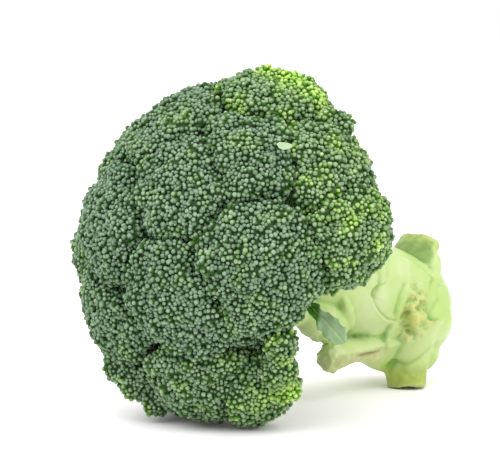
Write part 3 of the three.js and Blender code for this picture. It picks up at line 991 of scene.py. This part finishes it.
def make_bed(name, growth, seed):
    """The skin that carries a floret's buds: the dome's own surface, softened, sunk and lumpy."""
    dome = twin(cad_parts["floret_" + name])
    dome.parent = None
    dome.hide_render = False
    dome.hide_set(False)
    open_mesh(dome)
    bpy.ops.mesh.remove_doubles(threshold=WELD)
    bpy.ops.object.mode_set(mode="OBJECT")
    dome.data.materials.clear()

    random.seed(300 + seed)
    radius = growth["round"]
    ways = [laid_turn @ outward for outward in growth["clusters"]]
    centre = LAID @ growth["centre"]
    facing = laid_turn @ growth["facing"]
    hanging = []
    for way in ways:
        if way.angle(facing) > RIM_ANGLE:
            size = random.uniform(*RIM_CLUSTER)
            seat = centre + way * (radius - size * random.uniform(0.75, 1.0))
            seat -= facing * random.uniform(-1, 3) * MM
            seat.z = max(seat.z, size + 0.5 * MM)
            hanging.append(swell(seat, (size / MM,) * 3, 0))
    for tilt, turn, reach, size in STRAY_CLUSTERS.get(name, []):
        hanging.append(swell(LAID @ (direction_of(tilt, turn) * reach * MM), (size,) * 3, 0))
    bed = fuse([dome] + hanging, BED_VOXEL, 0)
    before = places_of(bed)
    shape_with(bed, "SMOOTH", factor=0.5, iterations=4)

    centre, facing = np.array(centre), np.array(facing)
    points = places_of(bed)
    out = before - centre
    reach = np.linalg.norm(out, axis=1)
    out /= reach[:, None]
    level = (out @ facing) * reach
    cluster_tree = kdtree.KDTree(len(ways))
    for index, way in enumerate(ways):
        cluster_tree.insert(way, index)
    cluster_tree.balance()
    nearest = [cluster_tree.find(Vector(way)) for way in out]
    apart = np.array([found[2] for found in nearest]) * radius
    drop = np.array([random.uniform(*HEM) for _ in ways]) * MM
    drop = drop[[found[1] for found in nearest]]
    rim_noise = rough(points, 5 * MM, 31 + seed)
    deep = CUP_DEPTH + 1.2 * MM * rim_noise + 3.0 * MM * (1 - step_up(level, 1 * MM, 7 * MM))
    kept = (reach > radius - deep) & (level > drop + 1.5 * MM * rim_noise)

    from_middle = points - np.array(MIDDLE)
    far = np.linalg.norm(from_middle, axis=1)
    tilt = np.degrees(np.arccos(from_middle @ np.array(laid_turn @ Vector((0, 0, 1))) / far))
    fill = CROWDING * np.maximum(CROWN_ENVELOPE - far, 0) * (1 - step_up(tilt, *FILLED_TILTS))
    points += from_middle / far[:, None] * np.minimum(fill, MOST_FILLED)[:, None]
    drift = [rough(points, 7 * MM, 70 + axis) for axis in range(3)]
    points += np.stack(drift, axis=1) * DRIFT * (1 - step_up(tilt, *DRIFTING_TILTS))[:, None]
    lump = CLUSTER_DOME * (1 - (apart / CLUSTER_HALF) ** 2)
    lump = np.maximum(lump, CLUSTER_CLEFT) + 0.85 * MM * rough(points, 3.4 * MM, 61)
    broad = 1.1 * MM * rough(points, 13 * MM, 62) - 0.6 * MM
    points -= out * (BUD_SINK - lump - broad)[:, None]
    put_places(bed, points)

    bpy.ops.object.mode_set(mode="EDIT")
    bpy.ops.mesh.select_all(action="DESELECT")
    bpy.ops.object.mode_set(mode="OBJECT")
    bed.data.vertices.foreach_set("select", ~kept)
    flags = [not all(kept[corner] for corner in face.vertices) for face in bed.data.polygons]
    bed.data.polygons.foreach_set("select", flags)
    bpy.ops.object.mode_set(mode="EDIT")
    bpy.ops.mesh.select_mode(type="FACE")
    bpy.ops.mesh.delete(type="FACE")
    bpy.ops.object.mode_set(mode="OBJECT")
    return bed


def uv_cells(count):
    """The corners of so many cells of a square grid, and the width of one."""
    side = math.ceil(math.sqrt(count))
    cell = UV_SHARE / side
    index = np.arange(count)
    return np.stack([index % side, index // side], axis=1) * cell, cell


for seed, name in enumerate(branch_names):
    growth = GROWTH[name]
    bed = make_bed(name, growth, seed)
    buds = twin(bed)
    pick(buds)
    modifier = buds.modifiers.new("Buds", "NODES")
    modifier.node_group = scatter
    modifier[seed_input.identifier] = seed * 13 + 5
    bpy.ops.object.modifier_apply(modifier=modifier.name)

    points = places_of(buds)
    count = len(points) // BUD_POINTS
    each = points.reshape(count, BUD_POINTS, 3)
    fresh = freshness(each.mean(axis=1), growth["fresh"])
    mark(buds, "fresh", np.repeat(fresh, BUD_POINTS))
    mark(buds, "under", np.zeros(len(points)))
    mark(buds, "bed", np.zeros(len(points)))
    lowest = each[:, :, 2].min(axis=1)
    lift = np.maximum(BUD_CLEARANCE - lowest, 0.0)
    each[:, :, 2] += np.minimum(lift, LIFT)[:, None]
    each[:, :, 2] = np.maximum(each[:, :, 2], BUD_CLEARANCE)
    put_places(buds, each.reshape(-1, 3))
    corner, cell = uv_cells(count)
    layer = buds.data.uv_layers["OFBake"].data
    flat = np.empty(len(buds.data.loops) * 2)
    layer.foreach_get("uv", flat)
    flat = flat.reshape(count, BUD_LOOPS, 2) * cell * CELL_FILL + corner[:, None, :] + cell * CELL_EDGE
    layer.foreach_set("uv", flat.ravel())

    shape_with(bed, "SOLIDIFY", thickness=BED_THICKNESS, offset=-1.0)
    bed_points, bed_normals = places_of(bed), normals_of(bed)
    away = bed_points - np.array(LAID @ growth["centre"])
    mark(bed, "under", ((bed_normals * away).sum(axis=1) < 0).astype(float))
    mark(bed, "fresh", freshness(bed_points, growth["fresh"]))
    mark(bed, "tip", np.zeros(len(bed_points)))
    mark(bed, "bed", np.ones(len(bed_points)))
    mark(bed, "shade", np.full(len(bed_points), 0.5))
    keep_above(bed, BED_CLEARANCE)
    for layer in list(bed.data.uv_layers):
        bed.data.uv_layers.remove(layer)
    layer = bed.data.uv_layers.new(name="OFBake").data
    order = np.empty(len(bed.data.loops), dtype=np.int64)
    bed.data.loops.foreach_get("vertex_index", order)
    across = np.array(laid_turn @ growth["facing"].orthogonal().normalized())
    beside = np.cross(np.array(laid_turn @ growth["facing"]), across)
    flat = np.stack([away @ across, away @ beside], axis=1) / growth["round"] * BED_UV_SIZE + BED_UV_MIDDLE
    layer.foreach_set("uv", flat[order].ravel())
    floret = join([buds, bed])
    floret.name = "floret_" + name + "_buds"
    floret.data.shade_smooth()
    growth["buds_piece"] = floret

bud_skin, tree = new_material("bud_skin", (0.16, 0.26, 0.12, 1))
tip = tree.attribute("tip")
shade = tree.attribute("shade")
fresh = tree.attribute("fresh")
under = tree.attribute("under")
mottle = tree.noise(900.0, 2.0)
# Painted light and shade on each bud: its lower side is near black green, painted shade where its neighbours
# crowd it. Its top is lighter, partly the waxy bloom and partly painted light. The fresh buds' yellow-green
# tops are lighter than their sides by painted light alone.
shaded_bud_side = tree.mix(shade, (0.010, 0.040, 0.006, 1), (0.030, 0.100, 0.012, 1))
tip_colour = tree.mix(shade, (0.085, 0.152, 0.092, 1), (0.197, 0.280, 0.206, 1))
shaded_fresh_side = tree.mix(shade, (0.07, 0.21, 0.009, 1), (0.18, 0.40, 0.026, 1))
lit_fresh_tip = tree.mix(shade, (0.23, 0.44, 0.045, 1), (0.53, 0.71, 0.17, 1))
bloom_and_lit_top = tree.smooth(tip + mottle * 0.3 - 0.15, 0.42, 1.0)
bud_colour = tree.mix(bloom_and_lit_top, shaded_bud_side, tip_colour)
fresh_colour = tree.mix(bloom_and_lit_top, shaded_fresh_side, lit_fresh_tip)
bud_colour = tree.mix(fresh, bud_colour, fresh_colour)
# Painted shade: the top of the bed between the buds is near black, standing for the shade in the gaps.
bed_shade_colour = tree.mix(fresh, (0.008, 0.027, 0.004, 1), (0.05, 0.14, 0.008, 1))
bud_colour = tree.mix(tree.attribute("bed"), bud_colour, bed_shade_colour)
bud_colour = tree.mix(under, bud_colour, (0.10, 0.22, 0.025, 1))
put_out(
    tree,
    Base_Color=bud_colour, Roughness=0.62 - fresh * 0.12, Specular_IOR_Level=0.35,
    Normal=tree.bump(tree.noise(1600.0, 2.0), 0.3, 0.0002),
)
for name in branch_names:
    floret = GROWTH[name]["buds_piece"]
    dress(floret, bud_skin)
    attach(floret, "root")
    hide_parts("floret_" + name)
bpy.data.objects.remove(bud)


# ---------------------------------------------------------------------------------------------------
# One small leaf is left on a branch under the crown. Its blade is thin, folded along a pale midrib and
# lobed at the edge, bright green where it is turned over near its foot and waxy blue-grey beyond.

LEAF_FOOT = Vector((15, -10, -26)) * MM
LEAF_BASE = Vector((31, -20.5, -3.5)) * MM
LEAF_TIP = Vector((48.5, -34, -10)) * MM
LEAF_FACING = Vector((0.62, -0.10, 0.78))
LEAF_HALF_WIDTH = 4.2 * MM
LEAF_THICKNESS = 0.5 * MM
PETIOLE_RADIUS, PETIOLE_TAPER = 1.6, 0.07   # in mm, and what it loses at each of its steps
LEAF_STEPS = 28
LEAF_ROWS = 12

along = (LEAF_TIP - LEAF_BASE).normalized()
face = (LEAF_FACING - along * LEAF_FACING.dot(along)).normalized()
leaf_axes = Matrix((along, face.cross(along), face)).transposed().to_4x4()
leaf_length = (LEAF_TIP - LEAF_BASE).length
bpy.ops.object.select_all(action="DESELECT")
bpy.ops.mesh.primitive_grid_add(x_subdivisions=LEAF_STEPS, y_subdivisions=LEAF_ROWS, size=2.0)
leaf = bpy.context.object
leaf.name = "leaf_blade"
leaf.data.uv_layers[0].name = "blade"
points = places_of(leaf)
way = (points[:, 0] + 1) / 2
side = points[:, 1].copy()
outline = np.interp(
    way,
    [0, 0.06, 0.2, 0.3, 0.38, 0.52, 0.7, 0.84, 0.94, 1.0],
    [0.28, 0.45, 0.66, 0.52, 0.66, 1.0, 1.0, 0.95, 0.66, 0.16],
)
out = np.abs(side)
lobing = 1 + 0.13 * np.sin(way * 31 + side) * out ** 3 + 0.08 * np.sin(way * 61 + 1) * out ** 5
half = LEAF_HALF_WIDTH * outline * lobing
points[:, 0] = way * leaf_length
points[:, 1] = side * half
fold = np.interp(way, [0, 0.25, 0.5, 1], [1.5, 1.0, 0.35, 0.25])
ripple = 0.35 * np.sin(way * 22 + side * 2.5) * out ** 2
points[:, 2] = (out ** 1.4 * fold * 1.9 + ripple - 1.3 * (way - 0.45) ** 2 * 4) * MM
points[:, 2] -= 0.45 * MM * bell(side, 0.10)
put_places(leaf, points)
mark(leaf, "way", way)
mark(leaf, "side", side)
shape_with(leaf, "SOLIDIFY", thickness=LEAF_THICKNESS, offset=0.0)
shape_with(leaf, "SUBSURF", levels=1, render_levels=1)
leaf.matrix_world = Matrix.Translation(LEAF_BASE) @ leaf_axes
petiole_bend = LEAF_FOOT.lerp(LEAF_BASE, 0.5) + Vector((0, 0, 4)) * MM
petiole_path = arc(LEAF_FOOT, petiole_bend, LEAF_BASE + along * 2 * MM, 10)
petiole = [(place, (PETIOLE_RADIUS - PETIOLE_TAPER * step) * MM) for step, place in enumerate(petiole_path)]
petiole = grow_stems("petiole", [petiole], 3)
mark(petiole, "way", np.full(len(petiole.data.vertices), 0.3))
mark(petiole, "side", np.zeros(len(petiole.data.vertices)))
pick(leaf)
bpy.ops.object.transform_apply(location=True, rotation=True, scale=True)
leaf = join([leaf, petiole])
leaf.data.shade_smooth()
set_down(leaf, LAID)

leaf_skin, tree = new_material("leaf_skin", (0.28, 0.44, 0.20, 1))
way, side = tree.attribute("way"), tree.attribute("side")
off_midrib = side.math("ABSOLUTE")
midrib = 1.0 - tree.smooth(off_midrib, 0.03, 0.14)
side_veins = (way * 46.0 - off_midrib * 9.0).math("SINE")
veins = tree.smooth(side_veins, 0.86, 1.0) * (1.0 - tree.smooth(off_midrib, 0.5, 0.95))
turned = 1.0 - tree.smooth(way + tree.noise(300.0, 2.0) * 0.12 + side * 0.12, 0.34, 0.46)
waxy = tree.mix(tree.noise(260.0, 3.0), (0.18, 0.33, 0.12, 1), (0.40, 0.54, 0.33, 1))
green = tree.mix(tree.noise(200.0, 2.0), (0.03, 0.15, 0.008, 1), (0.09, 0.29, 0.018, 1))
blade = tree.mix(turned, waxy, green)
blade = tree.mix(veins * 0.45, blade, (0.32, 0.45, 0.22, 1))
blade = tree.mix(midrib * 0.9, blade, (0.42, 0.55, 0.26, 1))
put_out(
    tree,
    Base_Color=blade, Roughness=0.55 - turned * 0.2, Specular_IOR_Level=0.35,
    Normal=tree.bump(veins * 0.6 + tree.noise(700.0, 3.0) * 0.4, 0.4, 0.0004),
)
dress(leaf, leaf_skin)
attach(leaf, "root")
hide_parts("leaf")


# ---------------------------------------------------------------------------------------------------
# A scrap of pale leaf lies loose on the buds near the top. It is a thin chip with a torn edge, dried a
# little, so that its rim curls up.

SCRAP_TILT, SCRAP_TURN = 47, 33
SCRAP_REACH = 73.9 * MM
SCRAP_HALF = (3.1 * MM, 1.7 * MM)
SCRAP_THICKNESS = 0.35 * MM
SCRAP_LONG_WAY = Vector((0.789, 0.203, -0.58))      # its long side runs this way, laid onto the buds

outward = direction_of(SCRAP_TILT, SCRAP_TURN)
bpy.ops.object.select_all(action="DESELECT")
bpy.ops.mesh.primitive_circle_add(vertices=14, radius=1.0, fill_type="NGON")
scrap = bpy.context.object
scrap.name = "leaf_scrap_chip"
open_mesh(scrap)
bpy.ops.mesh.inset(thickness=0.35, depth=0.0)
bpy.ops.mesh.inset(thickness=0.3, depth=0.0)
bpy.ops.object.mode_set(mode="OBJECT")
points = places_of(scrap)
away = np.hypot(points[:, 0], points[:, 1])
turn = np.arctan2(points[:, 1], points[:, 0])
points[:, :2] *= (1 + 0.16 * away * np.sin(3 * turn + 0.8) + 0.08 * away * np.sin(7 * turn))[:, None]
points[:, 2] = 0.5 * MM * away ** 2 + 0.25 * MM * np.sin(2 * turn) * away
points[:, 0] *= SCRAP_HALF[0]
points[:, 1] *= SCRAP_HALF[1]
put_places(scrap, points)
mark(scrap, "rim", away)
shape_with(scrap, "SOLIDIFY", thickness=SCRAP_THICKNESS, offset=0.0)
shape_with(scrap, "SUBSURF", levels=1, render_levels=1)
scrap.data.shade_smooth()
level = (SCRAP_LONG_WAY - outward * SCRAP_LONG_WAY.dot(outward)).normalized()
scrap_axes = Matrix((level, outward.cross(level), outward)).transposed().to_4x4()
set_down(scrap, LAID @ Matrix.Translation(outward * SCRAP_REACH) @ scrap_axes)
scrap_skin, tree = new_material("scrap_skin", (0.40, 0.52, 0.33, 1))
rim = tree.attribute("rim")
scrap_colour = tree.mix(tree.noise(500.0, 3.0), (0.22, 0.33, 0.17, 1), (0.34, 0.44, 0.28, 1))
scrap_colour = tree.mix(tree.smooth(rim, 0.7, 1.0) * 0.6, scrap_colour, (0.42, 0.48, 0.30, 1))
put_out(
    tree,
    Base_Color=scrap_colour, Roughness=0.55, Normal=tree.bump(tree.noise(900.0, 2.0), 0.3, 0.0003),
)
dress(scrap, scrap_skin)
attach(scrap, "root")
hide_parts("leaf_scrap")


# ---------------------------------------------------------------------------------------------------
# The studio: a wide white floor under a white sky, a soft light from above and in front, and a
# weaker one from the right, so that the shadows under the head stay faint.

FLOOR_HALF = 6.0
FLOOR_DROP = 0.0002                 # the floor lies this far under the head, in metres
CAMERA_TURN = math.radians(37.9)
CAMERA_RISE = math.radians(6.5)
CAMERA_DISTANCE = 0.9
SENSOR_WIDTH = 36.0
CAMERA_SHIFT = (-0.002, 0.015)      # of the picture across and up, as shares of the sensor's width
FOCAL_SHARE = 4.39                  # focal length as a multiple of the sensor's width

bpy.ops.object.select_all(action="DESELECT")
bpy.ops.mesh.primitive_plane_add(size=2 * FLOOR_HALF, location=(0, 0, -FLOOR_DROP))
bpy.ops.object.transform_apply(location=True, rotation=True, scale=True)
floor = bpy.context.object
floor.name = "floor"
floor_paint, tree = new_material("floor_paint", (0.9, 0.9, 0.9, 1))
put_out(tree, Base_Color=(0.97, 0.94, 0.96, 1), Roughness=0.9)
dress(floor, floor_paint)

world = bpy.data.worlds.new("studio")
bpy.context.scene.world = world
world.use_nodes = True
sky = world.node_tree.nodes["Background"]
sky.inputs["Color"].default_value = (1.0, 1.0, 1.0, 1)
sky.inputs["Strength"].default_value = 1.0


def hang_sun(name, toward, strength, softness):
    """A far light: the way from the head to it, its strength, and its apparent width in degrees."""
    lamp = bpy.data.lights.new(name, "SUN")
    lamp.energy = strength
    lamp.angle = math.radians(softness)
    put_in(name, lamp).rotation_euler = Vector(toward).to_track_quat("Z", "Y").to_euler()


hang_sun("key", (-0.15, -0.75, 1.1), 2.4, 65)
hang_sun("side", (1.0, -0.05, 0.9), 1.3, 50)

view_way = Vector((
    math.sin(CAMERA_TURN) * math.cos(CAMERA_RISE),
    -math.cos(CAMERA_TURN) * math.cos(CAMERA_RISE),
    math.sin(CAMERA_RISE),
))
camera_data = bpy.data.cameras.new("camera")
camera_data.sensor_width = SENSOR_WIDTH
camera_data.lens = SENSOR_WIDTH * FOCAL_SHARE
camera_data.shift_x, camera_data.shift_y = CAMERA_SHIFT
camera = put_in("camera", camera_data)
camera.location = MIDDLE + view_way * CAMERA_DISTANCE
camera.rotation_euler = (-view_way).to_track_quat("-Z", "Y").to_euler()
bpy.context.scene.camera = camera
